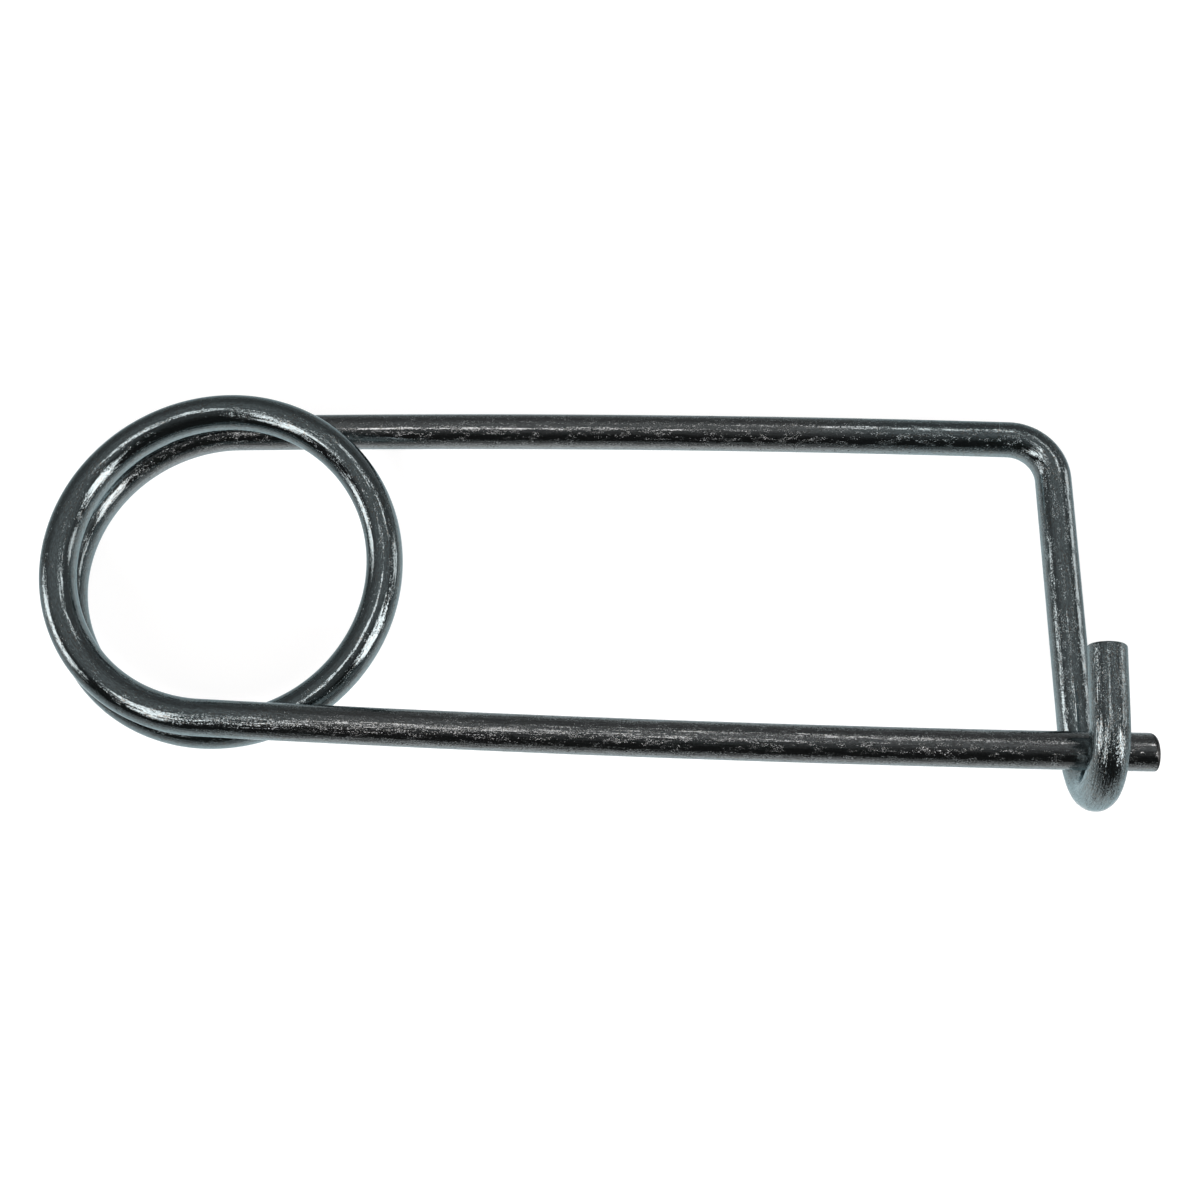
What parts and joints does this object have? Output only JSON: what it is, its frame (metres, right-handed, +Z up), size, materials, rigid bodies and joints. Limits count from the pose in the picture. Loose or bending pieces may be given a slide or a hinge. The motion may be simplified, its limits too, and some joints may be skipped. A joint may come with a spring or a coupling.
{
  "type": "spring-coil safety pin",
  "caption": "Spring-coil safety pin bent from one round steel wire, with a sprung straight shank latched under a hooked end.",
  "frame": {"origin": "on the surface the pin lies on, under the middle of its outline", "axes": "+X along the pin from the coil to the hook and tip, +Y across it from the shank to the frame arm, +Z up from the surface to the side the shank is on"},
  "size_m": [0.0911, 0.0344, 0.0124],
  "materials": {
    "zinc_plated_steel": "bright blue-white zinc plate over drawn wire, glossy, with fine lengthwise drawing lines and small scuffs"
  },
  "bodies": {
    "root": {"spring_wire": "zinc_plated_steel"}
  },
  "joints": []
}
